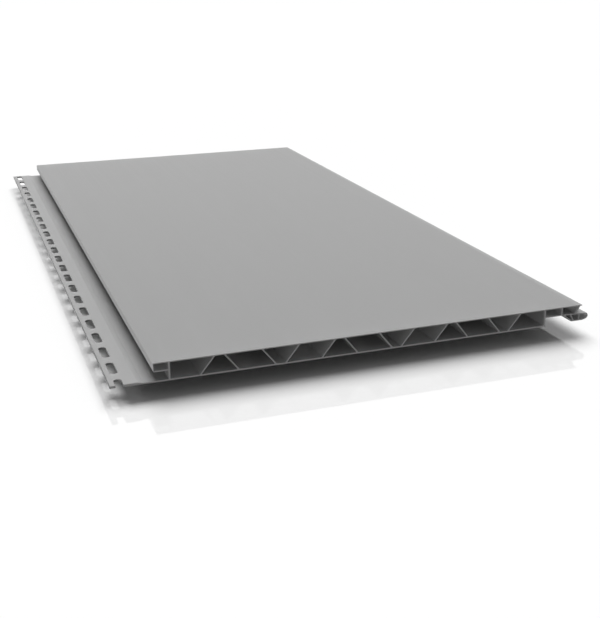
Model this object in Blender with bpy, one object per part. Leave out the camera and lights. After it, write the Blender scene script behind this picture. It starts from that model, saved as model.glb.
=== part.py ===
"""Interlocking PVC wall panel, one extruded profile cut to length.

The section is drawn in X and Z and extruded along Y. Section X runs from the left edge of the cover
(0) to its right edge, and Z runs up from the back of the panel (0) to the show face. The nailing fin
reaches out to the left of the cover and the tongue to the right.
"""
import math

import bmesh
import bpy
from mathutils import Vector

MM = 0.001

# Panel
PANEL_LENGTH = 628.0 * MM
COVER_WIDTH = 304.8 * MM
PANEL_THICKNESS = 12.7 * MM
FACE_SKIN = 0.7 * MM
BACK_SKIN = 1.0 * MM

# Truss webs between the skins, in pairs that lean together at the top and at the bottom in turn
WEB_THICKNESS = 0.75 * MM
WEB_PAIR_PITCH = 40.25 * MM
WEB_PAIR_NARROW = 6.0 * MM
WEB_PAIR_WIDE = 25.4 * MM
WEB_END_SPACE = 12.0 * MM

# Upright walls that close the truss at each side
UPRIGHT_THICKNESS = 1.2 * MM

# Groove on the left, under a shallow edge cell
GROOVE_DEPTH = 9.4 * MM
GROOVE_HEIGHT = 5.75 * MM
GROOVE_FLOOR = 0.9 * MM
EDGE_CELL_WALL = 0.5 * MM
EDGE_CELL_FLOOR = 0.85 * MM

# Nailing fin
FIN_REACH = 27.0 * MM
FIN_THICKNESS = 1.6 * MM
FIN_RAMP_AT = 6.5 * MM
FIN_RAMP_WIDTH = 3.5 * MM

# Screw slots in the fin, the first one cut open by the front end
SLOT_WIDTH = 5.0 * MM
SLOT_LENGTH = 19.05 * MM
SLOT_BRIDGE = 8.95 * MM
SLOT_EDGE_STRIP = 3.73 * MM

# Recess on the right that takes the next panel's fin, under a shelf
FIN_CLEARANCE = 2.15 * MM
SHELF_THICKNESS = 0.75 * MM
SHELF_UPRIGHT_THICKNESS = 1.0 * MM
SHELF_UPRIGHT_SET_BACK = 16.2 * MM

# Leaning wall on the right, set in a little under the edge of the face skin
RIGHT_WALL_THICKNESS = 1.1 * MM
RIGHT_WALL_LEAN = 2.9 * MM
EDGE_LIP = 1.5 * MM

# Hollow tongue, which slides into the next panel's groove
TONGUE_REACH = 5.3 * MM
TONGUE_PLAY = 0.25 * MM
TONGUE_WALL = 0.75 * MM
TONGUE_CHIN_RUN = 5.5 * MM
TONGUE_CROWN_RUN = 2.0 * MM
TONGUE_HEEL_GAP = 0.9 * MM
TONGUE_HEEL_RUN = 6.7 * MM
TONGUE_BRACE_SET_BACK = 9.0 * MM
TONGUE_BRACE_RUN = 2.9 * MM
TONGUE_UPRIGHT_SET_BACK = 1.9 * MM

# Rounded corners
COVER_EDGE_RADIUS = 0.3 * MM
GROOVE_LIP_RADIUS = 0.8 * MM
FIN_EDGE_RADIUS = 0.5 * MM
OUTER_RADIUS = 0.3 * MM
CELL_RADIUS = 0.4 * MM
CORNER_STEPS = 4
NOSE_STEPS = 20
SLOT_END_STEPS = 10

CUTTER_OVERSHOOT = 5.0 * MM

# Levels and stations that follow from the sizes above
FACE_INSIDE = PANEL_THICKNESS - FACE_SKIN
GROOVE_ROOF = GROOVE_FLOOR + GROOVE_HEIGHT
TONGUE_BOTTOM = GROOVE_FLOOR + TONGUE_PLAY
TONGUE_TOP = GROOVE_ROOF - TONGUE_PLAY
SHELF_TOP = TONGUE_TOP + SHELF_THICKNESS
TRUSS_LEFT = GROOVE_DEPTH
TRUSS_RIGHT = COVER_WIDTH - FIN_REACH - FIN_CLEARANCE
SHELF_UPRIGHT_AT = COVER_WIDTH - SHELF_UPRIGHT_SET_BACK
SHELF_END = SHELF_UPRIGHT_AT + SHELF_UPRIGHT_THICKNESS / 2
HEEL_AT = SHELF_END + TONGUE_HEEL_GAP
NOSE_TIP = COVER_WIDTH + TONGUE_REACH
NOSE_LEVEL = (TONGUE_TOP + TONGUE_BOTTOM) / 2
CHIN_AT = NOSE_TIP - TONGUE_CHIN_RUN
CROWN_AT = NOSE_TIP - TONGUE_CROWN_RUN
SLOT_AT = SLOT_EDGE_STRIP + SLOT_WIDTH / 2 - FIN_REACH
SLOT_PITCH = SLOT_LENGTH + SLOT_BRIDGE
SECTION_CENTRE = (NOSE_TIP - FIN_REACH) / 2


def clear_scene():
    """Remove every object that the file holds."""
    for old in list(bpy.data.objects):
        bpy.data.objects.remove(old, do_unlink=True)


def line(x_start, z_start, x_end, z_end):
    """Return a straight line of the section as two points."""
    return Vector((x_start, z_start)), Vector((x_end, z_end))


def level(z):
    """Return a level line of the section, from left to right."""
    return line(0.0, z, COVER_WIDTH, z)


def beside(path, distance):
    """Return a line moved to its right-hand side by a distance."""
    along = (path[1] - path[0]).normalized()
    aside = Vector((along.y, -along.x)) * distance
    return path[0] + aside, path[1] + aside


def crossing(first, second):
    """Return the point where two lines of the section meet."""
    first_run = first[1] - first[0]
    second_run = second[1] - second[0]
    share = (second[0] - first[0]).cross(second_run) / first_run.cross(second_run)
    return first[0] + first_run * share


def corner(first, second, radius):
    """Return the corner where two lines meet, with its radius."""
    point = crossing(first, second)
    return point.x, point.y, radius


def turned(vector, angle):
    """Return a flat vector turned counter-clockwise."""
    cosine = math.cos(angle)
    sine = math.sin(angle)
    return Vector((vector.x * cosine - vector.y * sine, vector.x * sine + vector.y * cosine))


def arc(centre, radius, start, end, steps):
    """Return (x, z, 0) corners along an arc, both ends included."""
    corners = []
    for step in range(steps + 1):
        point = centre + turned(Vector((radius, 0.0)), start + (end - start) * step / steps)
        corners.append((point.x, point.y, 0.0))
    return corners


def nose(inset):
    """Return the (x, z, 0) corners of the tongue's nose from chin to crown, drawn in by an inset."""
    depth = (TONGUE_TOP - TONGUE_BOTTOM) / 2 - inset
    corners = []
    for step in range(NOSE_STEPS + 1):
        angle = math.pi * (step / NOSE_STEPS - 0.5)
        centre = CHIN_AT if angle < 0.0 else CROWN_AT
        x = centre + (NOSE_TIP - inset - centre) * math.cos(angle)
        corners.append((x, NOSE_LEVEL + depth * math.sin(angle), 0.0))
    return corners


def rounded(corners):
    """Turn (x, z, radius) corners into points, with an arc at each corner that has a radius."""
    points = []
    for index, (x, z, radius) in enumerate(corners):
        tip = Vector((x, z))
        if radius == 0.0:
            points.append(tip)
            continue
        to_last = Vector(corners[index - 1][:2]) - tip
        to_next = Vector(corners[(index + 1) % len(corners)][:2]) - tip
        half = to_last.angle(to_next) / 2
        tangent = min(radius / math.tan(half), 0.45 * to_last.length, 0.45 * to_next.length)
        radius = tangent * math.tan(half)
        towards = (to_last.normalized() + to_next.normalized()).normalized()
        centre = tip + towards * (radius / math.sin(half))
        spoke = tip + to_last.normalized() * tangent - centre
        sweep = math.copysign(math.pi - 2 * half, to_next.cross(to_last))
        for step in range(CORNER_STEPS + 1):
            points.append(centre + turned(spoke, sweep * step / CORNER_STEPS))
    return points


def tongue_roof():
    """Return the sloping top of the tongue, from the shelf down to the nose."""
    return line(SHELF_END, SHELF_TOP, CROWN_AT, TONGUE_TOP)


def tongue_heel():
    """Return the slanted back of the tongue, from the shelf's underside down."""
    return line(HEEL_AT, TONGUE_TOP, HEEL_AT + TONGUE_HEEL_RUN, TONGUE_BOTTOM)


def right_wall():
    """Return the outer side of the leaning right wall, from the face skin down to the tongue."""
    head_at = COVER_WIDTH - EDGE_LIP
    foot_at = head_at - RIGHT_WALL_LEAN
    foot = crossing(tongue_roof(), line(foot_at, 0.0, foot_at, PANEL_THICKNESS))
    return line(head_at, FACE_INSIDE, foot.x, foot.y)


def outer_outline():
    """Return the outside of the section, counter-clockwise from the top left of the cover."""
    head, foot = right_wall()
    corners = [
        (0.0, PANEL_THICKNESS, COVER_EDGE_RADIUS),
        (0.0, GROOVE_ROOF, GROOVE_LIP_RADIUS),
        (TRUSS_LEFT, GROOVE_ROOF, OUTER_RADIUS),
        (TRUSS_LEFT, GROOVE_FLOOR, OUTER_RADIUS),
        (-FIN_RAMP_AT, GROOVE_FLOOR, OUTER_RADIUS),
        (-FIN_RAMP_AT - FIN_RAMP_WIDTH, FIN_THICKNESS, OUTER_RADIUS),
        (-FIN_REACH, FIN_THICKNESS, FIN_EDGE_RADIUS),
        (-FIN_REACH, 0.0, OUTER_RADIUS),
        (TRUSS_RIGHT, 0.0, OUTER_RADIUS),
        (TRUSS_RIGHT, TONGUE_TOP, OUTER_RADIUS),
        (HEEL_AT, TONGUE_TOP, OUTER_RADIUS),
        (HEEL_AT + TONGUE_HEEL_RUN, TONGUE_BOTTOM, OUTER_RADIUS),
    ]
    corners += nose(0.0)
    corners += [
        (foot.x, foot.y, OUTER_RADIUS),
        (head.x, head.y, OUTER_RADIUS),
        (COVER_WIDTH, FACE_INSIDE, COVER_EDGE_RADIUS),
        (COVER_WIDTH, PANEL_THICKNESS, COVER_EDGE_RADIUS),
    ]
    return rounded(corners)


def cell(left, right, floor, roof):
    """Return a four-sided cell between the walls on its left and right and its floor and roof."""
    return rounded([
        corner(left, floor, CELL_RADIUS),
        corner(right, floor, CELL_RADIUS),
        corner(right, roof, CELL_RADIUS),
        corner(left, roof, CELL_RADIUS),
    ])


def web_centre_lines():
    """Return the centre line of each truss web, from its foot up, in order from left to right."""
    span = TRUSS_RIGHT - TRUSS_LEFT
    steps = math.floor((span - WEB_PAIR_WIDE - 2 * WEB_END_SPACE) / WEB_PAIR_PITCH)
    first = (TRUSS_LEFT + TRUSS_RIGHT - steps * WEB_PAIR_PITCH) / 2
    foot_level = BACK_SKIN / 2
    head_level = PANEL_THICKNESS - FACE_SKIN / 2
    lines = []
    for pair in range(steps + 1):
        centre = first + pair * WEB_PAIR_PITCH
        foot_half = WEB_PAIR_WIDE / 2
        head_half = WEB_PAIR_NARROW / 2
        if pair % 2 == 1:
            foot_half, head_half = head_half, foot_half
        lines.append(line(centre - foot_half, foot_level, centre - head_half, head_level))
        lines.append(line(centre + foot_half, foot_level, centre + head_half, head_level))
    return lines


def truss_cells():
    """Return the cells between the two skins."""
    left_upright = TRUSS_LEFT + UPRIGHT_THICKNESS
    right_upright = TRUSS_RIGHT - UPRIGHT_THICKNESS
    faces = [line(left_upright, 0.0, left_upright, PANEL_THICKNESS)]
    for web in web_centre_lines():
        faces.append(beside(web, -WEB_THICKNESS / 2))
        faces.append(beside(web, WEB_THICKNESS / 2))
    faces.append(line(right_upright, 0.0, right_upright, PANEL_THICKNESS))
    cells = []
    for index in range(0, len(faces), 2):
        cells.append(cell(faces[index], faces[index + 1], level(BACK_SKIN), level(FACE_INSIDE)))
    return cells


def edge_cells():
    """Return the shallow cells over the groove, over the fin recess and beside the right wall."""
    wall = line(EDGE_CELL_WALL, 0.0, EDGE_CELL_WALL, PANEL_THICKNESS)
    groove_end = line(TRUSS_LEFT, 0.0, TRUSS_LEFT, PANEL_THICKNESS)
    recess_end = line(TRUSS_RIGHT, 0.0, TRUSS_RIGHT, PANEL_THICKNESS)
    upright = line(SHELF_UPRIGHT_AT, 0.0, SHELF_UPRIGHT_AT, PANEL_THICKNESS)
    upright_left = beside(upright, -SHELF_UPRIGHT_THICKNESS / 2)
    upright_right = beside(upright, SHELF_UPRIGHT_THICKNESS / 2)
    leaning = beside(right_wall(), RIGHT_WALL_THICKNESS)
    return [
        cell(wall, groove_end, level(GROOVE_ROOF + EDGE_CELL_FLOOR), level(FACE_INSIDE)),
        cell(recess_end, upright_left, level(SHELF_TOP), level(FACE_INSIDE)),
        cell(upright_right, leaning, tongue_roof(), level(FACE_INSIDE)),
    ]


def tongue_cells():
    """Return the three cells inside the tongue, from its heel to its nose."""
    floor = level(TONGUE_BOTTOM + TONGUE_WALL)
    roof = beside(tongue_roof(), TONGUE_WALL)
    brace_head = COVER_WIDTH - TONGUE_BRACE_SET_BACK
    brace = line(brace_head + TONGUE_BRACE_RUN, TONGUE_BOTTOM, brace_head, TONGUE_TOP)
    upright_at = COVER_WIDTH - TONGUE_UPRIGHT_SET_BACK
    upright = line(upright_at, TONGUE_BOTTOM, upright_at, TONGUE_TOP)
    upright_right = beside(upright, TONGUE_WALL / 2)
    nose_cell = [corner(upright_right, floor, CELL_RADIUS)]
    nose_cell += nose(TONGUE_WALL)
    nose_cell += [corner(upright_right, roof, CELL_RADIUS)]
    return [
        cell(beside(tongue_heel(), -TONGUE_WALL), beside(brace, -TONGUE_WALL / 2), floor, roof),
        cell(beside(brace, TONGUE_WALL / 2), beside(upright, -TONGUE_WALL / 2), floor, roof),
        rounded(nose_cell),
    ]


def plastic():
    """Return the light grey PVC."""
    material = bpy.data.materials.new("light_grey_pvc")
    material.use_nodes = True
    shader = material.node_tree.nodes["Principled BSDF"]
    shader.inputs["Base Color"].default_value = (0.40, 0.40, 0.40, 1.0)
    shader.inputs["Roughness"].default_value = 0.45
    shader.inputs["Metallic"].default_value = 0.0
    return material


def add_object(name, shape):
    """Link a new object that holds a finished bmesh."""
    bmesh.ops.recalc_face_normals(shape, faces=shape.faces)
    mesh = bpy.data.meshes.new(name)
    shape.to_mesh(mesh)
    shape.free()
    new_object = bpy.data.objects.new(name, mesh)
    bpy.context.scene.collection.objects.link(new_object)
    return new_object


def sweep(shape, faces, move):
    """Pull flat faces out into a closed solid."""
    pulled = bmesh.ops.extrude_face_region(shape, geom=faces, use_keep_orig=True)
    vertices = [item for item in pulled["geom"] if isinstance(item, bmesh.types.BMVert)]
    bmesh.ops.translate(shape, vec=move, verts=vertices)


def extruded_profile():
    """Return the panel before its slots are cut."""
    shape = bmesh.new()
    edges = []
    for loop in [outer_outline()] + truss_cells() + edge_cells() + tongue_cells():
        corners = [shape.verts.new((p.x - SECTION_CENTRE, -PANEL_LENGTH / 2, p.y)) for p in loop]
        for index, start in enumerate(corners):
            edges.append(shape.edges.new((start, corners[(index + 1) % len(corners)])))
    filled = bmesh.ops.triangle_fill(shape, edges=edges, use_beauty=True, use_dissolve=False)
    faces = [item for item in filled["geom"] if isinstance(item, bmesh.types.BMFace)]
    sweep(shape, faces, Vector((0.0, PANEL_LENGTH, 0.0)))
    return add_object("wall_panel", shape)


def slot_cutter():
    """Return one guide object with a round-ended bar for each screw slot."""
    shape = bmesh.new()
    end_radius = SLOT_WIDTH / 2
    half_straight = SLOT_LENGTH / 2 - end_radius
    for slot in range(math.floor((PANEL_LENGTH + SLOT_LENGTH / 2) / SLOT_PITCH) + 1):
        middle = Vector((SLOT_AT - SECTION_CENTRE, slot * SLOT_PITCH - PANEL_LENGTH / 2))
        far_end = middle + Vector((0.0, half_straight))
        near_end = middle - Vector((0.0, half_straight))
        outline = arc(far_end, end_radius, 0.0, math.pi, SLOT_END_STEPS)
        outline += arc(near_end, end_radius, math.pi, 2 * math.pi, SLOT_END_STEPS)
        corners = [shape.verts.new((x, y, -CUTTER_OVERSHOOT)) for x, y, _ in outline]
        face = shape.faces.new(corners)
        sweep(shape, [face], Vector((0.0, 0.0, FIN_THICKNESS + 2 * CUTTER_OVERSHOOT)))
    cutter = add_object("slot_cutter", shape)
    cutter.hide_render = True
    cutter.display_type = "WIRE"
    return cutter


def build():
    """Build the panel and cut its slots."""
    clear_scene()
    panel = extruded_profile()
    panel.data.materials.append(plastic())
    cut = panel.modifiers.new("screw_slots", "BOOLEAN")
    cut.operation = "DIFFERENCE"
    cut.solver = "EXACT"
    cut.object = slot_cutter()


build()
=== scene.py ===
# %% [markdown]
# A hollow wall panel, dressed for its product shot.
# The real thing is light grey PVC pushed through a die as one long profile: two thin skins, a truss of
# leaning webs between them, a nailing fin on the left and a hollow tongue on the right. Its shape is
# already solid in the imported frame, so this lesson is about what turns an exact solid into a believable
# object: small broken edges, a finish for each way the plastic was worked, and quiet studio light.

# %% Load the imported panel
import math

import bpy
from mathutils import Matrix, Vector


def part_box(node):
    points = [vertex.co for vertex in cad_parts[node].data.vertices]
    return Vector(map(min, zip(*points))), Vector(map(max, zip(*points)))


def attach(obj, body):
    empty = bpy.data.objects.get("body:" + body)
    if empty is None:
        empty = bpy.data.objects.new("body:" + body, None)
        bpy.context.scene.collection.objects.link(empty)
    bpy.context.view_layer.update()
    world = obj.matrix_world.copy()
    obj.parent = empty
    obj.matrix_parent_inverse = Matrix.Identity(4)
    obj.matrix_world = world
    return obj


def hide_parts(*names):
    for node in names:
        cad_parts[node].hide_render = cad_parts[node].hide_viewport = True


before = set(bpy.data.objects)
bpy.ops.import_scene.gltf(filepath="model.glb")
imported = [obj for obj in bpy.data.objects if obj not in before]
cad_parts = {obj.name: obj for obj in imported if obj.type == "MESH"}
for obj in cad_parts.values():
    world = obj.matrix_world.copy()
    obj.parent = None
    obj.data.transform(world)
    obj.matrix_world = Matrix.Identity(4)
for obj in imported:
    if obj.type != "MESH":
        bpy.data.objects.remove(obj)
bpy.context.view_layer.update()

# %% [markdown]
# Everything below is placed from the panel's own box, so the box is measured first.

MM = 0.001

low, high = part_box("wall_panel")
print("panel box, mm:", [round(side / MM, 1) for side in high - low])

# %% [markdown]
# The solid arrives as loose triangles, each with corners of its own. Edges can only be worked where
# triangles share them, so a copy is taken and its doubled corners are welded. The CAD node itself stays
# as it came: it is what the copy will stand in for.

# %% Weld a copy of the solid
WELD_DISTANCE = 0.002 * MM


def pick(thing):
    """Select one object alone and make it the active one."""
    bpy.ops.object.select_all(action="DESELECT")
    thing.select_set(True)
    bpy.context.view_layer.objects.active = thing


def edit(select_mode):
    """Enter edit mode in one select mode, with what was selected in code kept."""
    bpy.ops.object.mode_set(mode="EDIT")
    bpy.ops.mesh.select_mode(type=select_mode)


def leave_edit():
    """Return to object mode, where a script can read and select by place."""
    bpy.ops.object.mode_set(mode="OBJECT")


panel = bpy.data.objects.new("finished_panel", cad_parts["wall_panel"].data.copy())
bpy.context.scene.collection.objects.link(panel)
mesh = panel.data
loose_corners = len(mesh.vertices)
pick(panel)
bpy.ops.mesh.customdata_custom_splitnormals_clear()
edit("VERT")
bpy.ops.mesh.select_all(action="SELECT")
bpy.ops.mesh.remove_doubles(threshold=WELD_DISTANCE)
leave_edit()
print("corners before and after the weld:", loose_corners, len(mesh.vertices))

# %% [markdown]
# The screw slots are punched through the fin after the profile has cooled. A punch rolls the rim over a
# little where it enters and leaves, and that tiny round catches light. A bevel modifier that is limited
# by angle would work on every other sharp edge as well, so the rims are made by hand. First the walls of
# the slots are found by their place and normal. The saw has cut the first slot open, so the size of a
# slot and the pitch are taken from the next two.

# %% Find the slot walls
RIM = 0.18 * MM
FIN_THICKNESS = 1.6 * MM
SLOT_ZONE = (low.x + 2.0 * MM, low.x + 10.0 * MM)
LEVEL = 0.01
SLOT_GAP = 4.0 * MM


def slot_walls():
    """Return the upright faces that line the screw slots."""
    walls = []
    for face in mesh.polygons:
        upright = abs(face.normal.z) < LEVEL
        at_an_end = min(abs(face.center.y - low.y), abs(face.center.y - high.y)) < WELD_DISTANCE
        in_zone = SLOT_ZONE[0] < face.center.x < SLOT_ZONE[1] and face.center.z < FIN_THICKNESS
        if upright and in_zone and not at_an_end:
            walls.append(face)
    return walls


def deselect_mesh():
    """Clear the selection of the mesh in object mode."""
    for part in (mesh.vertices, mesh.edges, mesh.polygons):
        part.foreach_set("select", [False] * len(part))


def slot_spans():
    """Return the (start, end) of each slot along Y, in order."""
    reaches = []
    for face in slot_walls():
        stations = [mesh.vertices[i].co.y for i in face.vertices]
        reaches.append([min(stations), max(stations)])
    reaches.sort()
    found = [reaches[0]]
    for start, end in reaches:
        if start - found[-1][1] > SLOT_GAP:
            found.append([start, end])
        found[-1][1] = max(found[-1][1], end)
    return found


spans = slot_spans()
for span in spans[:3] + spans[-1:]:
    print("slot from", round(span[0] / MM, 2), "to", round(span[1] / MM, 2))
pitch = (spans[2][0] + spans[2][1] - spans[1][0] - spans[1][1]) / 2
wall_x = [mesh.vertices[i].co.x for face in slot_walls() for i in face.vertices]
slot_x = (min(wall_x) + max(wall_x)) / 2
slot_width = max(wall_x) - min(wall_x)
slot_length = spans[1][1] - spans[1][0]
print("slots:", len(spans), "pitch, mm:", round(pitch / MM, 2))
print("slot, mm:", round(slot_width / MM, 2), "by", round(slot_length / MM, 2))

# %% [markdown]
# Now the rims. A level plane cuts the walls of all slots at two heights, which leaves a narrow band along
# each rim. The corners on the rim are then spread from the middle of their slot, so the band leans
# outwards and becomes a small chamfer. The width of the band is the depth of the chamfer.

# %% Roll the slot rims
ON_THE_RIM = RIM / 4

for cut_level in (RIM, FIN_THICKNESS - RIM):
    deselect_mesh()
    for face in slot_walls():
        face.select = True
    edit("FACE")
    bpy.ops.mesh.bisect(plane_co=(0.0, 0.0, cut_level), plane_no=(0.0, 0.0, 1.0))
    leave_edit()

grow_x = (slot_width + 2 * RIM) / slot_width
grow_y = (slot_length + 2 * RIM) / slot_length
first_middle = (spans[1][0] + spans[1][1]) / 2 - pitch
for rim_level in (0.0, FIN_THICKNESS):
    for slot in range(len(spans)):
        middle = Vector((slot_x, first_middle + slot * pitch, rim_level))
        deselect_mesh()
        for corner in mesh.vertices:
            away = corner.co - middle
            in_slot = abs(away.x) <= slot_width / 2 + RIM and abs(away.y) <= slot_length / 2 + RIM
            corner.select = in_slot and abs(away.z) < ON_THE_RIM
        edit("VERT")
        bpy.ops.transform.resize(value=(grow_x, grow_y, 1.0), center_override=middle)
        leave_edit()
print("rims rolled:", 2 * len(spans))

# %% [markdown]
# Both ends are cut with a fine saw, and a cut edge of PVC is never razor sharp once it has been wiped
# down. Each end is broken by a chamfer of about an eighth of a millimetre: the whole end is drawn back
# by that much, and an inset then brings its middle forward again. The panel keeps its length.

# %% Break the sawn ends
CHAMFER = 0.12 * MM

for end_y, outward in ((low.y, -1.0), (high.y, 1.0)):
    deselect_mesh()
    for face in mesh.polygons:
        face.select = face.normal.y * outward > 1.0 - LEVEL and abs(face.center.y - end_y) < RIM
    edit("FACE")
    bpy.ops.transform.translate(value=(0.0, -outward * CHAMFER, 0.0))
    bpy.ops.mesh.inset(thickness=CHAMFER, depth=CHAMFER, use_even_offset=True)
    leave_edit()
    print("end at", round(end_y / MM, 1), "mm has", sum(face.select for face in mesh.polygons), "faces")

# %% [markdown]
# Rounded corners have to shade as curves and flat skins as flats. Smoothing by angle lets the small
# steps of each corner run together, but it would also bend the light across the wide faces beside them.
# A weighted normal modifier gives the wide faces the say, and it is applied so that the mesh keeps it.

# %% Shade the corners smooth and the skins flat
SMOOTH_ANGLE = math.radians(32.0)

pick(panel)
bpy.ops.object.shade_smooth_by_angle(angle=SMOOTH_ANGLE)
weights = panel.modifiers.new("weighted_normals", "WEIGHTED_NORMAL")
weights.keep_sharp = True
bpy.ops.object.modifier_apply(modifier=weights.name)
print("triangles:", sum(len(face.vertices) - 2 for face in mesh.polygons))

# %% [markdown]
# On the real panel the long left edge of the cover is softly rounded, and the low side below it looks
# nearly as light as the top. A larger bevel would change a section that is already exact. Instead the
# shading normals of that side and of its corner are tilted up, so that the light of the top face runs on
# over the edge while the shape stays as it is.

# %% Let the skin's shading run over the cover's left edge
FIN_REACH = 27.0 * MM
COVER_LEFT = low.x + FIN_REACH
EDGE_BAND = 0.35 * MM
LIFT_AT_TOP = 2.5
LIFT_AT_FOOT = 0.5
middle_z = (low.z + high.z) / 2

normals = [Vector(corner.vector) for corner in mesh.corner_normals]
turned = 0
for loop in mesh.loops:
    place = mesh.vertices[loop.vertex_index].co
    normal = normals[loop.index]
    near_top = place.z > middle_z and abs(place.x - COVER_LEFT) < EDGE_BAND
    on_wall = abs(place.x - COVER_LEFT) < WELD_DISTANCE and normal.x < -1.0 + LEVEL
    if abs(normal.y) < LEVEL and normal.x < LEVEL and (near_top or on_wall):
        lift = LIFT_AT_TOP if near_top else LIFT_AT_FOOT
        normals[loop.index] = (normal + Vector((0.0, 0.0, lift))).normalized()
        turned += 1
print("corners of the cover's edge turned:", turned)

# %% [markdown]
# The fin's outer edge does the opposite and shows as a thin dark line. Its radius is so small that smooth
# shading would melt it into the top of the fin, so its normals are turned to the side and a little down,
# away from the lamp. Then all the normals are handed back to the mesh.

# %% Keep the fin's outer edge dark
FIN_EDGE_RADIUS = 0.5 * MM
FIN_EDGE_NORMAL = Vector((-1.0, 0.0, -0.2)).normalized()

sideways = 0
for face in mesh.polygons:
    if face.center.x - low.x < FIN_EDGE_RADIUS and abs(face.normal.y) < LEVEL:
        for corner in face.loop_indices:
            normals[corner] = FIN_EDGE_NORMAL
            sideways += 1
mesh.normals_split_custom_set(normals)
print("corners of the fin's edge turned:", sideways)

# %% [markdown]
# One plastic, three finishes. The die leaves a satin skin with faint lines that run along the panel,
# the saw leaves a dull face with fine scratches across the walls, and the punch drags short lines down
# the slot walls. Each finish is a node material on Object coordinates, so that a pattern keeps its real
# size. They share helpers that each add one pattern or one use of it. Noise keeps mostly to the middle of
# its range, so one helper stretches that middle to the two values that a finish asks for.

# %% Helpers for node materials
PVC_GREY = 0.35
NOISE_LOW = 0.3
NOISE_HIGH = 0.7


def new_material(name):
    """Return a new node material with its nodes, links and shader."""
    material = bpy.data.materials.new(name)
    material.use_nodes = True
    tree = material.node_tree
    return material, tree.nodes, tree.links, tree.nodes["Principled BSDF"]


def pattern(nodes, links, features, detail=2.0):
    """Return a noise texture with that many features to the metre along X, Y and Z."""
    place = nodes.new("ShaderNodeTexCoord")
    stretch = nodes.new("ShaderNodeMapping")
    stretch.inputs["Scale"].default_value = features
    noise = nodes.new("ShaderNodeTexNoise")
    noise.inputs["Scale"].default_value = 1.0
    noise.inputs["Detail"].default_value = detail
    links.new(place.outputs["Object"], stretch.inputs["Vector"])
    links.new(stretch.outputs["Vector"], noise.inputs["Vector"])
    return noise.outputs["Fac"]


def between(nodes, links, value, least, most):
    """Return the middle range of a noise stretched to run from least to most."""
    span = nodes.new("ShaderNodeMapRange")
    span.inputs["From Min"].default_value = NOISE_LOW
    span.inputs["From Max"].default_value = NOISE_HIGH
    span.inputs["To Min"].default_value = least
    span.inputs["To Max"].default_value = most
    links.new(value, span.inputs["Value"])
    return span.outputs["Result"]


def mixed(nodes, links, first, second, share):
    """Return two patterns blended, with the second one's share."""
    blend = nodes.new("ShaderNodeMix")
    blend.inputs["Factor"].default_value = share
    links.new(first, blend.inputs["A"])
    links.new(second, blend.inputs["B"])
    return blend.outputs["Result"]


def grey(nodes, links, value, shader):
    """Use a value as the shader's grey."""
    joined = nodes.new("ShaderNodeCombineColor")
    for channel in ("Red", "Green", "Blue"):
        links.new(value, joined.inputs[channel])
    links.new(joined.outputs["Color"], shader.inputs["Base Color"])


def relief(nodes, links, height, shader, depth, strength):
    """Turn a pattern into bumps of that depth in metres."""
    bump = nodes.new("ShaderNodeBump")
    bump.inputs["Distance"].default_value = depth
    bump.inputs["Strength"].default_value = strength
    links.new(height, bump.inputs["Height"])
    links.new(bump.outputs["Normal"], shader.inputs["Normal"])


# %% [markdown]
# The skin is the show face. Rigid PVC from a polished die is even in colour, with a satin sheen. What
# gives it away as extruded are die lines: streaks a millimetre or two wide and very long, which show
# less in the colour than in how sharply they reflect. A slow cloudiness from cooling lies over them.
# Skins this thin also let a little light through, so the hollow cells are never quite black. Subsurface
# scattering with a reach of two centimetres gives that faint glow without a lamp inside the panel.

# %% Skin from the die
PVC_IOR = 1.53
SKIN_GLOSS = 0.2
GLOW_SHARE = 0.4
GLOW_REACH = 20.0 * MM
SKIN_GREYS = (PVC_GREY * 0.975, PVC_GREY * 1.025)
SKIN_ROUGHNESS = (0.40, 0.52)
DIE_LINE_DEPTH = 0.02 * MM

skin, nodes, links, shader = new_material("light_grey_pvc")
shader.inputs["IOR"].default_value = PVC_IOR
shader.inputs["Specular IOR Level"].default_value = SKIN_GLOSS
shader.inputs["Subsurface Weight"].default_value = GLOW_SHARE
shader.inputs["Subsurface Radius"].default_value = (1.0, 1.0, 1.0)
shader.inputs["Subsurface Scale"].default_value = GLOW_REACH
die_lines = pattern(nodes, links, features=(700.0, 1.5, 700.0))
clouds = pattern(nodes, links, features=(9.0, 5.0, 9.0))
grain = pattern(nodes, links, features=(2500.0, 1800.0, 2500.0))
tone = mixed(nodes, links, die_lines, clouds, share=0.55)
grey(nodes, links, between(nodes, links, tone, *SKIN_GREYS), shader)
sheen = mixed(nodes, links, clouds, die_lines, share=0.6)
links.new(between(nodes, links, sheen, *SKIN_ROUGHNESS), shader.inputs["Roughness"])
surface = mixed(nodes, links, die_lines, grain, share=0.35)
relief(nodes, links, surface, shader, DIE_LINE_DEPTH, strength=0.25)
print("skin's greys:", [round(value, 3) for value in SKIN_GREYS])

# %% [markdown]
# The saw cuts across the walls and leaves them dull, a touch paler where the plastic was stressed, with
# scratches that run level, as the blade did. A wave texture would rule them evenly. A noise that is
# squeezed in height and left long across the panel gives scratches of uneven length and depth.

# %% Ends from the saw
CUT_GLOSS = 0.3
SAWN_GREYS = (PVC_GREY * 0.95, PVC_GREY * 1.07)
SAWN_ROUGHNESS = (0.55, 0.75)
SCRATCH_DEPTH = 0.05 * MM

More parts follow.
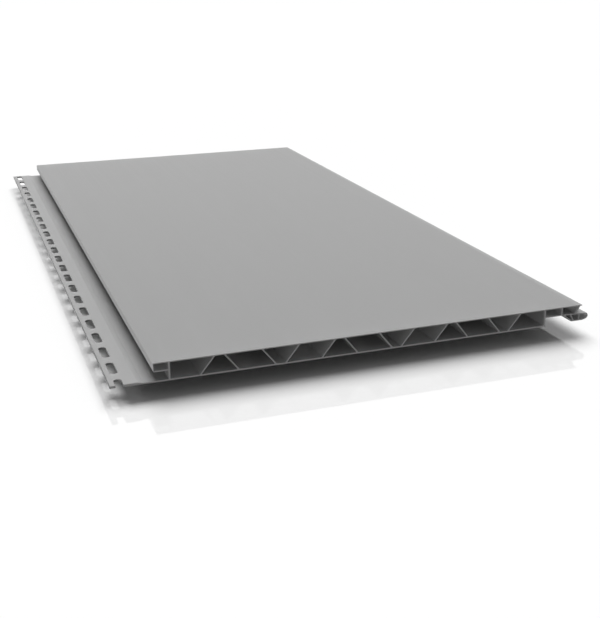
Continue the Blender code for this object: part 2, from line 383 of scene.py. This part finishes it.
sawn, nodes, links, shader = new_material("sawn_pvc")
shader.inputs["IOR"].default_value = PVC_IOR
shader.inputs["Specular IOR Level"].default_value = CUT_GLOSS
scratches = pattern(nodes, links, features=(350.0, 350.0, 6000.0), detail=3.0)
chips = pattern(nodes, links, features=(1500.0, 1500.0, 1500.0))
marks = mixed(nodes, links, scratches, chips, share=0.4)
grey(nodes, links, between(nodes, links, marks, *SAWN_GREYS), shader)
links.new(between(nodes, links, scratches, *SAWN_ROUGHNESS), shader.inputs["Roughness"])
relief(nodes, links, marks, shader, SCRATCH_DEPTH, strength=0.4)
print("sawn ends' greys:", [round(value, 3) for value in SAWN_GREYS])

# %% [markdown]
# The punch shears the slot walls in one stroke, which drags fine lines straight down them and leaves
# the plastic slightly darker than the skin.

# %% Slots from the punch
PUNCHED_GREYS = (PVC_GREY * 0.88, PVC_GREY * 0.98)
PUNCHED_ROUGHNESS = (0.5, 0.65)
DRAG_DEPTH = 0.03 * MM

punched, nodes, links, shader = new_material("punched_pvc")
shader.inputs["IOR"].default_value = PVC_IOR
shader.inputs["Specular IOR Level"].default_value = CUT_GLOSS
drag = pattern(nodes, links, features=(4000.0, 4000.0, 300.0))
grey(nodes, links, between(nodes, links, drag, *PUNCHED_GREYS), shader)
links.new(between(nodes, links, drag, *PUNCHED_ROUGHNESS), shader.inputs["Roughness"])
relief(nodes, links, drag, shader, DRAG_DEPTH, strength=0.4)
print("slot walls' greys:", [round(value, 3) for value in PUNCHED_GREYS])

# %% [markdown]
# Each face gets its finish by its place: the two end faces and their chamfers that of the saw, the slot
# walls that of the punch, and all the rest the skin. One mesh can carry all three in its material slots.

# %% Give each face its finish
FINISHES = (skin, sawn, punched)
SKIN, SAWN, PUNCHED = range(len(FINISHES))
FACES_ENDWAYS = 0.5

mesh.materials.clear()
for finish in FINISHES:
    mesh.materials.append(finish)
wall_faces = {face.index for face in slot_walls()}
for face in mesh.polygons:
    at_an_end = min(abs(face.center.y - low.y), abs(face.center.y - high.y)) < CHAMFER
    if at_an_end and abs(face.normal.y) > FACES_ENDWAYS:
        face.material_index = SAWN
    elif face.index in wall_faces:
        face.material_index = PUNCHED
    else:
        face.material_index = SKIN
given = [face.material_index for face in mesh.polygons]
print("faces of skin, saw and punch:", [given.count(kind) for kind in (SKIN, SAWN, PUNCHED)])

# %% [markdown]
# The finished copy now takes the place of the bare solid. It rides on the panel's one body.

# %% Put the finished panel in the frame
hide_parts("wall_panel")
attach(panel, "root")

# %% [markdown]
# In the photograph the panel is held about a centimetre above a glossy white table: the gap is what
# makes the soft dark band under its front edge, and the table mirrors it faintly. The floor is one wide
# plane at that distance. A glass-like coat would mirror more at a low angle than straight down, but the
# photographed table mirrors evenly, so a fixed share of a glossy shader is mixed into a white one. The
# floor is white to the camera and to reflections, and a mid grey to the light that bounces off it, so
# that it doesn't wash out the panel's undercut sides. The white is a little over 1 to make up for the
# share that the mirror takes.

# %% Floor
FLOOR_GAP = 11.3 * MM
FLOOR_SIZE = 30.0
FLOOR_WHITE = 1.085
FLOOR_BOUNCE = 0.25
GLOSS_SHARE = 0.20
GLOSS_ROUGHNESS = 0.04

bpy.ops.object.select_all(action="DESELECT")
bpy.ops.mesh.primitive_plane_add(size=FLOOR_SIZE, location=(0.0, 0.0, low.z - FLOOR_GAP))
floor = bpy.context.active_object
floor.name = "floor"


def seen_directly(nodes, links):
    """Return 1 for rays from the camera, a reflection or a clear body, and 0 for bounced light."""
    path = nodes.new("ShaderNodeLightPath")
    total = path.outputs["Is Camera Ray"]
    for ray in ("Is Glossy Ray", "Is Transmission Ray"):
        either = nodes.new("ShaderNodeMath")
        either.operation = "MAXIMUM"
        links.new(total, either.inputs[0])
        links.new(path.outputs[ray], either.inputs[1])
        total = either.outputs[0]
    return total


paint = bpy.data.materials.new("glossy_white_table")
paint.use_nodes = True
nodes = paint.node_tree.nodes
links = paint.node_tree.links
nodes.clear()
white = nodes.new("ShaderNodeBsdfDiffuse")
white.inputs["Color"].default_value = (FLOOR_WHITE, FLOOR_WHITE, FLOOR_WHITE, 1.0)
gloss = nodes.new("ShaderNodeBsdfGlossy")
gloss.inputs["Roughness"].default_value = GLOSS_ROUGHNESS
lacquer = nodes.new("ShaderNodeMixShader")
lacquer.inputs["Fac"].default_value = GLOSS_SHARE
links.new(white.outputs["BSDF"], lacquer.inputs[1])
links.new(gloss.outputs["BSDF"], lacquer.inputs[2])
bounce = nodes.new("ShaderNodeBsdfDiffuse")
bounce.inputs["Color"].default_value = (FLOOR_BOUNCE, FLOOR_BOUNCE, FLOOR_BOUNCE, 1.0)
shown = nodes.new("ShaderNodeMixShader")
links.new(seen_directly(nodes, links), shown.inputs["Fac"])
links.new(bounce.outputs["BSDF"], shown.inputs[1])
links.new(lacquer.outputs["Shader"], shown.inputs[2])
finish = nodes.new("ShaderNodeOutputMaterial")
links.new(shown.outputs["Shader"], finish.inputs["Surface"])
floor.data.materials.append(paint)
print("floor level, mm:", round(floor.location.z / MM, 1))

# %% [markdown]
# The camera was worked out from the photograph's two vanishing points: the long edges of the panel give
# one and its front edges the other. Together they give the lens and the three turns, and the panel's
# known width gives the distance.

# %% Camera
CAMERA_PLACE = (-0.25108, -0.88306, 0.2520)
CAMERA_TURNS = (70.3238, 0.2508, -19.8477)
CAMERA_LENS = 59.69
SENSOR_WIDTH = 36.0

bpy.ops.object.camera_add(
    location=CAMERA_PLACE,
    rotation=[math.radians(turn) for turn in CAMERA_TURNS],
)
camera = bpy.context.active_object
camera.name = "camera"
camera.data.lens = CAMERA_LENS
camera.data.sensor_width = SENSOR_WIDTH
bpy.context.scene.camera = camera
camera_height = camera.location.z - floor.location.z
print("lens, mm:", CAMERA_LENS, "camera above the floor, mm:", round(camera_height / MM))

# %% [markdown]
# The light is a white studio. A large soft lamp hangs above the panel, a little behind it and to its
# right, which throws the soft shadow forward and leaves the sawn end quiet. A weak lamp at table height
# in front reaches into the hollow cells. The room itself glows a little, evenly from all sides. Sun lamps
# stand for both, because their light is the same at any distance, and a wide angle makes the large one
# soft. Lamps and room together give a level surface about as much light as makes a colour render as it
# was chosen. In reflections and behind the object the room is plain white.

# %% Light
KEY_FROM = Vector((0.14, 0.45, 1.0)).normalized()
KEY_SHARE = 0.80
KEY_SPREAD = 54.0
FILL_FROM = Vector((-0.35, -1.0, 0.03)).normalized()
FILL_SHARE = 0.19
FILL_SPREAD = 3.0
ROOM_GLOW = 0.17


def soft_lamp(name, towards, strength, spread):
    """Add a far lamp that stands in a direction, with a strength and a spread in degrees."""
    bpy.ops.object.light_add(type="SUN", rotation=towards.to_track_quat("Z", "Y").to_euler())
    lamp = bpy.context.active_object
    lamp.name = name
    lamp.data.energy = strength * math.pi
    lamp.data.angle = math.radians(spread)


soft_lamp("key_lamp", KEY_FROM, KEY_SHARE / KEY_FROM.z, KEY_SPREAD)
soft_lamp("fill_lamp", FILL_FROM, FILL_SHARE, FILL_SPREAD)

studio = bpy.data.worlds.new("studio")
bpy.context.scene.world = studio
studio.use_nodes = True
nodes = studio.node_tree.nodes
links = studio.node_tree.links
glow = nodes.new("ShaderNodeMix")
links.new(seen_directly(nodes, links), glow.inputs["Factor"])
glow.inputs["A"].default_value = ROOM_GLOW
glow.inputs["B"].default_value = 1.0
links.new(glow.outputs["Result"], nodes["Background"].inputs["Strength"])
nodes["Background"].inputs["Color"].default_value = (1.0, 1.0, 1.0, 1.0)
bpy.context.scene.view_settings.view_transform = "Standard"
print("light on a level surface:", round(KEY_SHARE + FILL_SHARE * FILL_FROM.z + ROOM_GLOW, 3))
